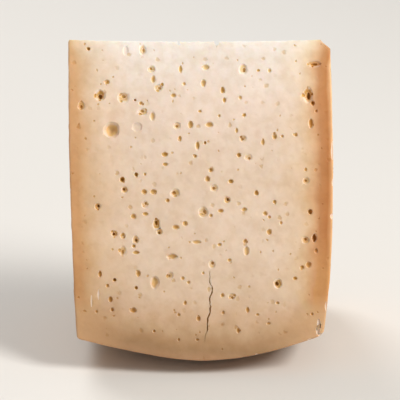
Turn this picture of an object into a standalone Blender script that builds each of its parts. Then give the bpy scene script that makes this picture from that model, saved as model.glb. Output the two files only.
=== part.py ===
"""A wedge of aged goat cheese, cut from a round wheel and standing on its heel with the tip up.

The wheel's axis lies along X, so the two knife cuts meet in the tip line at the top. The cut that
faces -Y is the front face. The flat sides of the wheel are the left (-X) and right (+X) rinds, and
its round side is the heel, which rests on the ground at Z = 0. Metres, +Z up.
"""

import math
import random

import bmesh
import bpy
from mathutils import Matrix, Vector, noise

MM = 0.001

# The wheel
WHEEL_RADIUS = 110 * MM
HALF_THICKNESS = 44.8 * MM
MIDDLE = 0.6 * MM  # the middle of the whole width lies this far to the right of the wheel's middle
RIND_REACH = 42.3 * MM  # how far from the middle of the heel its two corners lie

# The rinds lean in towards the rim, each with its own power, and the right one swells first
LEFT_DROP, LEFT_DROP_POWER = 3.6 * MM, 2.3
RIGHT_DROP, RIGHT_DROP_POWER = 3.6 * MM, 5.0
RIGHT_SWELL = 1.2 * MM

# The heel bulges, more pointed on its left half
HEEL_BULGE_LEFT, HEEL_POWER_LEFT = 7.7 * MM, 1.6
HEEL_BULGE_RIGHT, HEEL_POWER_RIGHT = 8.9 * MM, 2.0
LEFT_CORNER_ROUND, RIGHT_CORNER_ROUND = 1.0 * MM, 3.2 * MM
CORNER_SEGMENTS = 3

# The wedge
WEDGE_ANGLE = math.radians(40)
TURN_STEPS = 14
TIP_WIDTH = 0.15 * MM  # the knife leaves this much of a radius at the ends of the tip line
TIP_DIP = 0.8 * MM  # and this much more at its middle
TIP_CHIP = 3.2 * MM  # the right end of the tip line is broken off
SIDE_STEPS, HEEL_STEPS, TIP_STEPS = 18, 20, 8
RIND_UNEVENNESS = 0.45 * MM
RIND_UNEVENNESS_SIZE = 26 * MM
CALM_REACH = 16 * MM  # the heel is even around the foot

# The heel is pressed flat where it stands
REST_SINK = 0.6 * MM
AXIS_HEIGHT = WHEEL_RADIUS - REST_SINK

# The eyes that stand out in the front face: across from its middle, down from the wheel's axis,
# width, height and depth, in millimetres
FRONT_EYES = (
    (-25.1, 3.6, 1.6, 3.2, 0.5),
    (-19.3, 3.6, 1.8, 2.9, 1.3),
    (-16.3, 10.2, 2.2, 1.9, 0.9),
    (-15.7, 13.6, 1.3, 2.6, 0.9),
    (1.5, 15.0, 1.6, 2.5, 1.6),
    (8.1, 17.4, 1.5, 2.3, 1.0),
    (15.1, 10.2, 2.1, 2.9, 1.2),
    (-31.5, 14.6, 1.6, 1.3, 0.9),
    (-33.9, 19.1, 2.9, 3.0, 2.2),
    (-25.9, 19.9, 3.2, 2.7, 1.8),
    (37.3, 19.0, 2.5, 4.5, 2.4),
    (-40.3, 22.7, 1.9, 2.7, 0.8),
    (-19.3, 24.8, 2.7, 2.1, 1.2),
    (-29.9, 31.0, 4.3, 4.5, 2.4),
    (-21.3, 30.2, 3.5, 3.2, 0.8),
    (-7.5, 29.6, 2.1, 1.9, 1.0),
    (3.6, 29.2, 2.5, 1.7, 0.7),
    (38.3, 28.8, 1.3, 3.2, 1.3),
    (15.1, 34.0, 2.1, 1.8, 1.4),
    (25.9, 33.2, 1.3, 1.9, 1.1),
    (13.7, 39.6, 1.5, 1.5, 1.2),
    (16.9, 40.4, 2.3, 1.8, 1.3),
    (-11.7, 39.4, 2.1, 1.5, 0.8),
    (-21.5, 46.3, 1.3, 1.4, 1.5),
    (-26.3, 48.0, 1.7, 1.8, 2.0),
    (-25.5, 51.5, 1.8, 1.9, 2.0),
    (-18.7, 52.2, 1.6, 1.4, 1.1),
    (-15.5, 52.2, 2.1, 1.5, 1.2),
    (-8.1, 52.6, 2.6, 2.3, 1.5),
    (5.2, 50.9, 2.1, 2.1, 1.6),
    (9.7, 55.0, 1.8, 1.9, 1.8),
    (36.7, 48.4, 1.8, 1.8, 1.0),
    (-18.5, 56.6, 1.7, 2.0, 1.4),
    (-34.7, 57.2, 1.8, 2.1, 1.9),
    (1.5, 59.2, 2.3, 3.0, 1.1),
    (38.1, 59.0, 1.4, 1.8, 1.5),
    (-14.5, 63.2, 2.1, 3.2, 1.7),
    (-13.4, 65.9, 1.9, 2.0, 1.9),
    (-7.9, 64.3, 2.2, 1.4, 1.0),
    (24.1, 65.9, 1.6, 1.9, 1.6),
    (-28.9, 66.6, 1.9, 2.0, 1.8),
    (-21.7, 68.7, 1.9, 2.3, 2.0),
    (-0.8, 69.4, 2.9, 1.1, 0.8),
    (15.9, 69.1, 1.3, 1.5, 1.3),
    (39.5, 68.0, 1.4, 2.8, 1.8),
    (36.5, 68.7, 2.1, 2.3, 1.3),
    (-26.1, 72.4, 1.6, 2.9, 1.1),
    (-9.1, 74.4, 3.0, 1.4, 0.6),
    (4.5, 77.1, 1.9, 2.2, 1.6),
    (-20.7, 80.2, 1.4, 2.3, 1.2),
    (-15.1, 83.2, 2.4, 3.6, 0.5),
    (27.1, 83.6, 2.4, 2.8, 2.2),
    (11.3, 88.0, 1.8, 2.0, 0.8),
    (-22.5, 92.8, 2.2, 1.5, 0.7),
)
TIP_NOTCHES = (
    (-6.9, 0.2, 1.2, 4.0, 2.6),
    (6.1, 0.2, 2.1, 4.6, 2.6),
)
LARGE_EYE = 4.4  # from this width or height in millimetres an eye gets a finer ball

# The back face isn't seen, so its eyes are drawn at random in the same sizes
BACK_EYES = 38
BACK_SEED = 7
BACK_EYE_SIZE = (1.3, 4.2)
BACK_EYE_CLEARANCE = 1.2
FACE_MARGIN = 5.0

# The crack below the eye at (4.5, 77.1): across and down, in millimetres
CRACK_PATH = ((4.3, 78.6), (4.5, 83.6), (4.0, 88.4), (3.6, 92.6), (3.0, 98.2), (1.9, 102.6))
CRACK_WIDTH = 0.55 * MM
CRACK_DEPTH = 3.5 * MM
CRACK_END_SHARE = 0.3

EYE_LUMPS = 0.12
EYE_SINK = 0.25  # the share of an eye's depth by which its middle lies under the cut

CHEESE_COLOUR = (0.80, 0.62, 0.42, 1.0)
CHEESE_ROUGHNESS = 0.55


def right_edge(radius):
    """How far the right rind lies from the middle plane, at this distance from the wheel's axis."""
    share = radius / WHEEL_RADIUS
    swell = RIGHT_SWELL * math.sin(math.pi * share)
    return HALF_THICKNESS + swell - RIGHT_DROP * share**RIGHT_DROP_POWER


def left_edge(radius):
    share = radius / WHEEL_RADIUS
    return -(HALF_THICKNESS - LEFT_DROP * share**LEFT_DROP_POWER)


def heel_radius(across):
    """The wheel's radius at this distance from its middle plane."""
    share = abs(across) / RIND_REACH
    if across < 0:
        return WHEEL_RADIUS - HEEL_BULGE_LEFT * share**HEEL_POWER_LEFT
    return WHEEL_RADIUS - HEEL_BULGE_RIGHT * share**HEEL_POWER_RIGHT


def tip_radius(across):
    return TIP_WIDTH + TIP_DIP * (1 - (across / HALF_THICKNESS) ** 2)


def corner_of(edge):
    """The radius at which a rind meets the heel, found by closing in on it."""
    near, far = 0.5 * WHEEL_RADIUS, WHEEL_RADIUS
    for _ in range(40):
        radius = (near + far) / 2
        if radius < heel_radius(edge(radius)):
            near = radius
        else:
            far = radius
    return near


def steps(start, end, count):
    """Count points evenly from start, without the end."""
    return [start + (end - start) * i / count for i in range(count)]


def profile_points():
    """Half of the wheel's section, as (across, radius), round from the left end of the tip line."""
    left_corner, right_corner = corner_of(left_edge), corner_of(right_edge)
    tip_right = HALF_THICKNESS - TIP_CHIP
    points = [(x, tip_radius(x)) for x in steps(-HALF_THICKNESS, tip_right, TIP_STEPS)]
    points.append((tip_right, tip_radius(tip_right)))
    points += [(right_edge(r), r) for r in steps(TIP_CHIP, right_corner, SIDE_STEPS)]
    across = steps(right_edge(right_corner), left_edge(left_corner), HEEL_STEPS)
    points += [(x, heel_radius(x)) for x in across]
    points += [(left_edge(r), r) for r in steps(left_corner, TIP_WIDTH, SIDE_STEPS)]
    return points


def round_corner(bm, face, corner, width):
    """Rounds the corner of the flat profile that lies nearest to a point."""
    vert = min(face.verts, key=lambda v: (v.co - corner).length)
    bmesh.ops.bevel(
        bm,
        geom=[vert],
        offset=width,
        segments=CORNER_SEGMENTS,
        profile=0.5,
        affect="VERTICES",
    )


def on_wheel(across, radius, turn=0.0):
    """A point of the wheel, its turn counted about the axis from straight down towards +Y."""
    height = AXIS_HEIGHT - radius * math.cos(turn)
    return Vector((across - MIDDLE, radius * math.sin(turn), height))


def uneven(point):
    """Moves a point of the rind a little in its own cutting plane, so that the cuts stay flat."""
    from_axis = Vector((0, point.y, point.z - AXIS_HEIGHT))
    place = point / RIND_UNEVENNESS_SIZE
    sideways = RIND_UNEVENNESS * noise.noise(place)
    outwards = RIND_UNEVENNESS * noise.noise(place + Vector((9, 5, 2)))
    calm = math.exp(-(point.xy.length_squared) / (2 * CALM_REACH**2))
    share = from_axis.length / WHEEL_RADIUS * (1 - calm)
    moved = from_axis * (1 + outwards * share / WHEEL_RADIUS)
    across = point.x * (1 + sideways * share / HALF_THICKNESS)
    return Vector((across, moved.y, moved.z + AXIS_HEIGHT))


def wedge_mesh():
    """The wheel's section turned through the wedge's angle, and pressed flat at its foot."""
    bm = bmesh.new()
    face = bm.faces.new([bm.verts.new(on_wheel(x, r)) for x, r in profile_points()])
    left_corner, right_corner = corner_of(left_edge), corner_of(right_edge)
    round_corner(
        bm,
        face,
        on_wheel(right_edge(right_corner), right_corner),
        RIGHT_CORNER_ROUND,
    )
    face = bm.faces[:][0]
    round_corner(
        bm, face, on_wheel(left_edge(left_corner), left_corner), LEFT_CORNER_ROUND
    )
    axis_point = Vector((0, 0, AXIS_HEIGHT))
    bmesh.ops.rotate(
        bm,
        verts=bm.verts[:],
        cent=axis_point,
        matrix=Matrix.Rotation(-WEDGE_ANGLE / 2, 3, "X"),
    )
    bmesh.ops.spin(
        bm,
        geom=bm.verts[:] + bm.edges[:] + bm.faces[:],
        cent=axis_point,
        axis=(1, 0, 0),
        angle=WEDGE_ANGLE,
        steps=TURN_STEPS,
    )
    for vert in bm.verts:
        vert.co = uneven(vert.co)
    cut = bmesh.ops.bisect_plane(
        bm,
        geom=bm.verts[:] + bm.edges[:] + bm.faces[:],
        plane_co=(0, 0, 0),
        plane_no=(0, 0, -1),
        clear_outer=True,
    )
    foot = [e for e in cut["geom_cut"] if isinstance(e, bmesh.types.BMEdge)]
    bmesh.ops.edgeloop_fill(bm, edges=foot)
    bmesh.ops.recalc_face_normals(bm, faces=bm.faces[:])
    mesh = bpy.data.meshes.new("cheese_wedge")
    bm.to_mesh(mesh)
    bm.free()
    return mesh


def cut_frame(side):
    """A cut face's frame: X across, Y down from the axis, Z inwards. Side is -1 in front, 1 behind."""
    centre = on_wheel(0, 0)
    across = Vector((1, 0, 0))
    down = on_wheel(0, 1, side * WEDGE_ANGLE / 2) - centre
    inwards = across.cross(down) * -side
    frame = Matrix((across, down, inwards)).transposed().to_4x4()
    return Matrix.Translation(centre) @ frame


def as_cutter(name, bm, collection):
    bmesh.ops.recalc_face_normals(bm, faces=bm.faces[:])
    mesh = bpy.data.meshes.new(name)
    bm.to_mesh(mesh)
    bm.free()
    cutter = bpy.data.objects.new(name, mesh)
    cutter.hide_render = True
    cutter.display_type = "WIRE"
    collection.objects.link(cutter)
    return cutter


def eye_cutter(name, frame, eye, collection):
    """A lumpy ball whose cut at the face has the eye's width and height."""
    across, down, width, height, depth = eye
    sink = depth * EYE_SINK
    reach = depth - sink
    grow = 1 / math.sqrt(1 - (sink / reach) ** 2)
    bm = bmesh.new()
    fine = max(width, height) >= LARGE_EYE
    bmesh.ops.create_icosphere(bm, subdivisions=3 if fine else 2, radius=1)
    for vert in bm.verts:
        lump = noise.noise(vert.co * 1.3 + Vector((across, down, depth)))
        vert.co *= 1 + EYE_LUMPS * lump
    size = Vector((width / 2 * grow, height / 2 * grow, reach)) * MM
    place = frame @ Matrix.LocRotScale(Vector((across, down, sink)) * MM, None, size)
    bmesh.ops.transform(bm, matrix=place, verts=bm.verts[:])
    return as_cutter(name, bm, collection)


def crack_cutter(frame, collection):
    """A thin blade with a jagged edge, pressed into the front face."""
    last = len(CRACK_PATH) - 1
    left, right = [], []
    for i, (across, down) in enumerate(CRACK_PATH):
        share = CRACK_END_SHARE if i in (0, last) else 1.0
        half = CRACK_WIDTH / 2 * share
        left.append(Vector((across * MM - half, down * MM, -CRACK_WIDTH)))
        right.append(Vector((across * MM + half, down * MM, -CRACK_WIDTH)))
    bm = bmesh.new()
    outline = bm.faces.new([bm.verts.new(p) for p in left + right[::-1]])
    made = bmesh.ops.extrude_face_region(bm, geom=[outline])
    verts = [v for v in made["geom"] if isinstance(v, bmesh.types.BMVert)]
    bmesh.ops.translate(bm, verts=verts, vec=(0, 0, CRACK_DEPTH + CRACK_WIDTH))
    bmesh.ops.transform(bm, matrix=frame, verts=bm.verts[:])
    return as_cutter("crack", bm, collection)


def clear_of(eye, others):
    gap = BACK_EYE_CLEARANCE
    return all(
        math.hypot(eye[0] - other[0], eye[1] - other[1])
        > (max(eye[2:4]) + max(other[2:4])) / 2 + gap
        for other in others
    )


def back_eyes():
    """Eyes for the back face, most of them small, clear of each other and of the rinds."""
    draw = random.Random(BACK_SEED)
    half = HALF_THICKNESS / MM - FACE_MARGIN
    low, high = BACK_EYE_SIZE
    eyes = []
    while len(eyes) < BACK_EYES:
        width = low + (high - low) * draw.random() ** 3
        eye = (
            draw.uniform(-half, half),
            draw.uniform(FACE_MARGIN, WHEEL_RADIUS / MM - 3 * FACE_MARGIN),
            width,
            width * draw.uniform(0.8, 1.5),
            width * draw.uniform(0.35, 0.9),
        )
        if clear_of(eye, eyes):
            eyes.append(eye)
    return eyes


def cheese_material():
    material = bpy.data.materials.new("aged_goat_cheese")
    material.use_nodes = True
    shader = material.node_tree.nodes["Principled BSDF"]
    shader.inputs["Base Color"].default_value = CHEESE_COLOUR
    shader.inputs["Roughness"].default_value = CHEESE_ROUGHNESS
    shader.inputs["Metallic"].default_value = 0.0
    return material


def main():
    for obj in list(bpy.data.objects):
        bpy.data.objects.remove(obj)
    scene = bpy.context.scene
    parts = bpy.data.collections.new("aged_goat_cheese")
    cutters = bpy.data.collections.new("eyes_and_crack")
    scene.collection.children.link(parts)
    scene.collection.children.link(cutters)
    wedge = bpy.data.objects.new("cheese_wedge", wedge_mesh())
    wedge.data.materials.append(cheese_material())
    parts.objects.link(wedge)
    front, back = cut_frame(-1), cut_frame(1)
    for i, eye in enumerate(FRONT_EYES + TIP_NOTCHES):
        eye_cutter(f"front_eye_{i}", front, eye, cutters)
    for i, eye in enumerate(back_eyes()):
        eye_cutter(f"back_eye_{i}", back, eye, cutters)
    crack_cutter(front, cutters)
    cut = wedge.modifiers.new("eyes", "BOOLEAN")
    cut.operation = "DIFFERENCE"
    cut.operand_type = "COLLECTION"
    cut.collection = cutters
    cut.solver = "EXACT"


main()
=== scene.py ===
"""A wedge of aged goat cheese on a pale studio floor.

The file is laid out as a Blender add-on, and also runs as a script.

The wedge is cut from a round wheel and stands on its heel. The wheel's axis lies along X, so the
two knife cuts meet in the tip line at the top. The front cut faces -Y, the flat sides of the wheel
are the left (-X) and right (+X) rinds, and its round side is the heel. Metres, +Z up.
"""

import math
import random

import bpy
import numpy as np
from bpy.props import FloatProperty, FloatVectorProperty, IntProperty, PointerProperty
from mathutils import Matrix, Quaternion, Vector, noise


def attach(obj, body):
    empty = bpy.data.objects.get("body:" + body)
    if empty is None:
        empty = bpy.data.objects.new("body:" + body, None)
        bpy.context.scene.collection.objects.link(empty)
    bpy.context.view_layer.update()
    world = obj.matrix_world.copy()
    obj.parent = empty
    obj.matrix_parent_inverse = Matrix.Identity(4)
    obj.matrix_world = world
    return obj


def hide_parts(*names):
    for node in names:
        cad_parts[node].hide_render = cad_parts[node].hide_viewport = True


bl_info = {
    "name": "Aged Goat Cheese Wedge",
    "version": (1, 0, 0),
    "blender": (4, 5, 0),
    "location": "View3D > Sidebar > Cheese",
    "description": "Builds a wedge of aged goat cheese with its eyes and its cloth-marked rind",
    "category": "Add Mesh",
}

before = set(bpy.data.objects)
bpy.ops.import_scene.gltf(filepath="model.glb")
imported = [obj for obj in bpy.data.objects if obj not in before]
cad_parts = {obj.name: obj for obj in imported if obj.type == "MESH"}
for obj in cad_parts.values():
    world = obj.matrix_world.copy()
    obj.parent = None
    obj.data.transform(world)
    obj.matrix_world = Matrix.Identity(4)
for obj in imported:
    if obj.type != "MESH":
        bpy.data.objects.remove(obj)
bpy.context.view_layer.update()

MM = 0.001
WHITE = (1, 1, 1)
PASTE, RIND = 0, 1  # the wedge's material slots

# The rinds lean in towards the rim and the heel bulges, each half in its own way
RIND_REACH = 42.3 * MM
LEFT_DROP, LEFT_DROP_POWER = 3.6 * MM, 2.3
RIGHT_DROP, RIGHT_DROP_POWER = 3.6 * MM, 5.0
RIGHT_SWELL = 1.2 * MM
HEEL_BULGE_LEFT, HEEL_POWER_LEFT = 7.7 * MM, 1.6
HEEL_BULGE_RIGHT, HEEL_POWER_RIGHT = 8.9 * MM, 2.0
LEFT_CORNER_ROUND, RIGHT_CORNER_ROUND = 1.0 * MM, 3.2 * MM
MIDDLE = 0.6 * MM  # the middle of the whole width lies this far right of the wheel's middle
CALM_REACH = 16 * MM  # the heel is even around the foot
AXIS_BAR = 3 * MM  # fills the thin end of the turned wedge, above the cuts
SPARE_ANGLE = math.radians(4)  # the blank is turned this much wider than the wedge
SECTION_STEPS, SPIN_STEPS, BAR_SIDES = 60, 60, 32
SMOOTH_ANGLE = math.radians(38)  # an edge sharper than this is shaded as one
HALVINGS = 40  # steps in which a corner is found
DENTS, DENT_DEPTH = 11, 0.55 * MM
CREASE_WIDTH = 0.36 * MM
CREASE_LENGTHS = 5, 22  # the shortest and the longest, in millimetres
RIND_FACING = 0.8, 0.97  # where a rind ends and begins: cosines of the angle to its direction
HEEL_SHEET = 2  # the cloth over the heel; 0 and 1 lay on the left and right rinds

# The balls that eyes are made from: their subdivisions, and how many there are of each
COARSE_BALL, FINE_BALL, BALL_KINDS = 2, 3, 5
FINE_EYE = 2.5 * MM  # an eye wider than this is made from a fine ball
LARGE_EYE = 1.7  # millimetres, from which an eye can have inner and more side holes
NOTCH_LIP, CHIP_LIP, SIDE_LIP = 0.1 * MM, 0.15 * MM, 0.2 * MM
SIDE_MARGIN, HEEL_MARGIN = 4.5, 11  # the back cut's eyes keep away from its edges, millimetres

# The eyes of the front cut, in millimetres: across from the middle, down from the wheel's axis,
# width, height and depth
FRONT_EYES = (
    (-37.9, 3.2, 1.1, 1.1, 1.1), (-25.1, 3.8, 1.3, 2.6, 0.3), (-19.3, 3.6, 1.8, 2.9, 1),
    (-16.3, 10.2, 2.2, 1.9, 1.1), (-15.7, 13.6, 1.3, 2.4, 0.8), (-13.9, 16.6, 2.4, 1.8, 1),
    (-12.7, 15.5, 1.1, 1.1, 0.7), (-31.5, 14.6, 1.6, 1.3, 0.8), (-33.9, 19.1, 2.9, 3, 2.5),
    (-25.9, 19.9, 3.2, 2.7, 1.5), (-40.3, 22.7, 1.9, 2.7, 1.1), (-21.9, 20.8, 0.8, 0.8, 0.8),
    (-19.9, 21.9, 1.3, 1.1, 0.7), (-19.3, 24.8, 2.7, 2.1, 1.2), (-15.9, 26.4, 1.4, 2.7, 0.7),
    (-29.9, 31, 4.3, 4.5, 1.9), (-21.2, 30.1, 2.7, 2.5, 0.5), (-6.3, 10.2, 1.1, 2.4, 0.7),
    (-5.1, 15.2, 1, 1, 0.6), (2.3, 9.6, 2.4, 1.6, 0.8), (1.5, 15, 1.6, 2.4, 0.9),
    (-8.7, 19.2, 1.6, 1.3, 0.8), (8.1, 17.4, 1.4, 2.2, 0.9), (8.7, 20.8, 1.1, 1.6, 0.7),
    (15.1, 10.2, 2.1, 2.9, 1.2), (24.1, 10.7, 1, 1.3, 0.6), (20.3, 10.7, 1, 0.8, 0.5),
    (37.3, 19, 2.6, 4.6, 2.2), (38.3, 28.8, 1.3, 3.2, 0.8), (40.1, 24.6, 0.8, 1, 0.5),
    (14.1, 20, 1, 1.1, 0.6), (0.3, 24.6, 1.1, 0.8, 0.5), (6.9, 26.2, 0.8, 0.8, 0.5),
    (15.5, 25.9, 1.1, 1.1, 0.7), (-7.5, 29.6, 2.1, 1.9, 1.1), (-2.9, 29.2, 1.6, 2.4, 0.9),
    (3.6, 29.2, 2.4, 1.6, 0.9), (-6.5, 34, 1.1, 1.9, 0.7), (-0.5, 36.4, 1.3, 2.9, 0.8),
    (2.1, 35.4, 0.8, 1.1, 0.8), (12.9, 31.2, 0.8, 1.6, 0.5), (15.1, 34, 2.1, 1.8, 1),
    (13.7, 39.6, 1.4, 1.4, 0.9), (16.9, 40.4, 2.2, 1.8, 1), (21.9, 35.2, 1, 2.4, 0.6),
    (25.9, 33.2, 1.3, 1.9, 0.8), (28.5, 33.2, 0.8, 0.8, 0.5), (33.1, 32.7, 1.1, 1.1, 0.7),
    (-11.7, 39.4, 2.1, 1.4, 0.9), (-11.5, 42.8, 1.8, 1.1, 0.7), (-1.3, 40, 1.1, 1.1, 0.7),
    (-21.5, 46.3, 1.3, 1.4, 1.2), (-18.5, 46.2, 0.8, 1, 0.5), (-26.3, 48, 1.6, 1.8, 1.5),
    (-25.5, 51.5, 1.8, 1.9, 1.6), (-18.7, 52.2, 1.6, 1.4, 0.9), (-15.5, 52.2, 2.1, 1.6, 0.9),
    (-8.1, 52.6, 2.6, 2.4, 1.4), (-18.5, 56.6, 1.8, 2.1, 1), (-18.3, 59.8, 1.9, 1.1, 0.7),
    (-22.4, 60.6, 1.6, 1.6, 0.9), (-10.7, 55.2, 1.1, 1.3, 0.7), (-34.7, 57.2, 1.8, 2.1, 1.6),
    (2.9, 47.8, 1.6, 1.8, 0.9), (4.1, 44.8, 1.3, 1.3, 0.8), (5.2, 50.9, 2.1, 2.1, 1.2),
    (10.9, 48.6, 1.6, 1.3, 0.8), (9.7, 55, 1.8, 1.9, 1.6), (7.5, 58.7, 1.9, 1.1, 0.7),
    (15.5, 58.2, 1.8, 1.1, 0.7), (1.5, 59.2, 2.6, 3.2, 1.4), (4.1, 60.3, 1, 1, 0.6),
    (-14.5, 63.2, 2.1, 3.5, 1.8), (-13.5, 65.9, 1.8, 1.9, 1.6), (-7.9, 64.3, 2.2, 1.4, 0.9),
    (-4.7, 63.1, 1.6, 1.6, 0.9), (-28.9, 66.6, 1.9, 2.1, 1.7), (-26.1, 67.2, 1.6, 1.9, 0.9),
    (-21.7, 68.7, 1.9, 2.4, 1.7), (-26.1, 72.4, 1.9, 2.9, 1.1), (-22.3, 70.8, 1.1, 1.1, 0.7),
    (-21.5, 73, 2.4, 1.1, 0.7), (-0.8, 69.4, 2.9, 1.1, 0.6), (-9.1, 74.4, 3.2, 1.6, 0.8),
    (7.1, 70.3, 1.3, 1, 0.6), (15.9, 69.1, 1.3, 1.4, 0.8), (16.3, 72.4, 1.6, 3.2, 0.7),
    (24.1, 65.9, 1.6, 1.9, 0.9), (24.1, 60.8, 0.8, 1, 0.5), (22.7, 59.6, 1.3, 1.3, 0.8),
    (28.1, 62.8, 0.8, 1.1, 0.5), (25.9, 55.6, 1.1, 1.1, 0.7), (19.7, 52.6, 1.4, 1.9, 0.9),
    (38.1, 59, 1.4, 1.8, 1.3), (36.5, 44.6, 0.8, 1.1, 0.5), (36.7, 48.4, 1.9, 1.9, 1.1),
    (39.5, 68, 1.4, 2.7, 1.3), (36.5, 68.7, 2.1, 2.1, 1.2), (40.1, 72.3, 1, 1.6, 0.6),
    (37.5, 77.1, 1.6, 1.9, 0.9), (35.3, 78, 1.4, 1.1, 0.7), (32.9, 81.8, 1.4, 1.1, 0.7),
    (27.1, 83.6, 2.4, 2.9, 2.1), (4.5, 77.1, 1.9, 2.2, 1.1), (10.5, 75.6, 1.3, 1, 0.6),
    (1.5, 80, 0.8, 0.8, 0.5), (-20.7, 80.2, 1.4, 2.2, 0.9), (-21.5, 85.1, 1, 1.1, 0.9),
    (-28.9, 82.4, 1.3, 1.1, 1.1), (-31.3, 84.4, 1, 1, 0.6), (-33.9, 80.4, 1.1, 2.1, 0.7),
    (-15.1, 83.2, 2.4, 3.7, 1.1), (-9.9, 80.8, 1.9, 1.9, 1.1), (-5.5, 81.8, 1.1, 1, 0.6),
    (-3.5, 83.2, 1.1, 1, 0.6), (-30.3, 89.1, 1.3, 1.9, 0.8), (-29.7, 92.6, 1.1, 1.3, 0.7),
    (-35.1, 93.2, 0.8, 1, 0.5), (-22.5, 92.8, 2.2, 1.6, 0.9), (-4.7, 90.2, 1, 1.4, 0.6),
    (-6.9, 94.3, 1, 1, 0.6), (-0.1, 95.6, 1.3, 1.8, 0.8), (8.1, 87.6, 1.1, 1.3, 0.7),
    (11.3, 88, 1.9, 1.9, 1.1), (8.3, 93.5, 1, 1.1, 0.6), (16.7, 92.6, 1, 1.8, 0.6),
    (20.1, 94.2, 1.1, 0.8, 0.5), (26.9, 90.2, 1.1, 0.8, 0.5), (13.5, 99.6, 1.1, 1.8, 0.7),
    (-15.3, 99.9, 0.8, 0.8, 0.5), (-6.9, 102.8, 0.8, 1, 0.5), (-0.5, 102.8, 1.1, 0.8, 0.5),
    (38.7, 94, 0.8, 1, 0.5), (23.9, 97.2, 1.3, 0.8, 0.5), (39.4, 8.5, 4.4, 1.7, 1.1),
    (38.9, 21.9, 1.3, 1.6, 1.1),
)  # fmt: skip
TIP_NOTCHES = ((-6.9, 0.2, 0.9, 4.2, 2.6), (6.1, 0.2, 1.7, 4.8, 2.8))
# Small chips along the edges of the front cut, in the same measures
EDGE_NICKS = (
    (45.7, 38.0, 1.1, 7.0, 0.7), (45.6, 60.6, 1.3, 2.2, 0.9), (45.9, 49.0, 0.9, 3.0, 0.5),
    (43.6, 91.4, 0.9, 3.4, 0.6), (41.0, 97.3, 1.0, 3.6, 0.4), (40.7, 99.6, 1.3, 2.9, 0.5),
    (41.6, 101.2, 1.7, 1.5, 0.6), (38.4, 103.0, 2.6, 1.4, 0.7), (34.6, 104.6, 2.0, 1.1, 0.6),
    (31.5, 106.0, 2.2, 1.0, 0.6), (-44.9, 28.5, 0.8, 2.6, 0.5), (-44.2, 51.5, 0.8, 1.8, 0.4),
    (-36.8, 89.6, 0.5, 4.4, 0.25), (-34.4, 87.4, 0.5, 3.4, 0.25), (20.0, 108.0, 1.6, 0.9, 0.5),
)  # fmt: skip

# The crack in the front cut, from the eye above it: across and down in millimetres
CRACK_PATH = (
    (3.9, 79.2), (3.7, 82.2), (3.9, 83.6), (4.7, 84.6), (4.6, 87.0), (3.8, 88.2), (3.7, 89.7),
    (4.0, 91.4), (3.7, 94.3), (3.1, 95.6), (2.9, 97.0), (3.1, 98.7), (2.9, 100.0), (2.3, 101.5),
    (1.9, 103.6),
)  # fmt: skip
CRACK_STEPS = 36
# CRACK_TONE tints the crack's walls dark brown, partly painted shade in the narrow gap
CRACK_DEPTH, CRACK_TONE = 0.9 * MM, 0.7
# How strongly the chips along the edges are painted paler: partly the chipped paste's own colour,
# partly a painted highlight
CHIP_LIGHTNESS = 1.3

# A cut's block: its first height, thickness and top, how many faces it has, and how far from a
# rind its outer lines of points lie, which are close together at the edge
BLOCK_HEIGHT, BLOCK_THICKNESS, BLOCK_TOP = 110 * MM, 12 * MM, -6 * MM
BLOCK_COLUMNS, BLOCK_ROWS = 76, 86
SETTLING_ROUNDS = 6  # a point's two measures depend on each other
EDGE_OFFSETS = np.array((-6, -1.5, -0.6, -0.2, 0.1, 0.35, 0.7, 1.3)) * MM

# The block over the tip line
TIP_COLUMNS, TIP_ROWS = 180, 6
TIP_WIDTH, TIP_THICKNESS = 9 * MM, 8 * MM

# The stage
FLOOR_RADIUS, WALL_RISE, WALL_STEPS = 1.5, 0.7, 12
LIGHT_SPREAD = math.radians(120)
PICTURE_SIZE, PIXELS_PER_METRE = 400, 2922  # in pixels, and at the front cut
AIM_RADIUS = 55 * MM  # how far down the front cut the camera and the lights look


def metres(name, description, default):
    return FloatProperty(name=name, description=description, default=default, unit="LENGTH")


def degrees(name, description, value):
    default = math.radians(value)
    return FloatProperty(name=name, description=description, default=default, subtype="ANGLE")


def number(name, description, default):
    return FloatProperty(name=name, description=description, default=default)


def whole_number(name, description, default):
    return IntProperty(name=name, description=description, default=default)


def colour_value(name, description, default):
    return FloatVectorProperty(
        name=name, description=description, default=default, subtype="COLOR", min=0, max=1
    )


class CheeseShape(bpy.types.PropertyGroup):
    wheel_radius: metres("Wheel radius", "Radius of the wheel it was cut from", 110 * MM)
    half_thickness: metres("Half thickness", "Half the wheel's thickness at its axis", 44.8 * MM)
    wedge_angle: degrees("Wedge angle", "Angle between the two knife cuts", 40)
    rest_sink: metres("Rest sink", "How far the heel is pressed flat where it stands", 0.6 * MM)
    unevenness: metres("Unevenness", "Height of the rind's wide waves", 0.45 * MM)
    unevenness_size: metres("Unevenness size", "Width of the rind's wide waves", 26 * MM)
    tip_wear: metres("Tip wear", "How far the middle of the tip line is worn down", 0.8 * MM)
    tip_chip: metres("Tip chip", "Length broken off the tip line's right end", 3.2 * MM)
    grain: metres("Grain", "Size of the faces that the wedge is modelled with", 0.92 * MM)


class RindMarks(bpy.types.PropertyGroup):
    mesh_spacing: metres("Mesh spacing", "From one column of cloth marks to the next", 2.9 * MM)
    row_spacing: metres("Row spacing", "From one mark in a column to the next", 1.6 * MM)
    mark_height: metres("Mark height", "Height of the marks that the cloth left", 0.12 * MM)
    crease_height: metres("Crease height", "Height of the cloth's crease lines", 0.16 * MM)
    creases: whole_number("Creases", "Number of crease lines on each side of the rind", 22)
    rim_width: metres("Rim width", "Width of the smooth band along the wheel's edge", 7 * MM)
    seed: whole_number("Seed", "Draws other creases and dents", 5)


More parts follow.
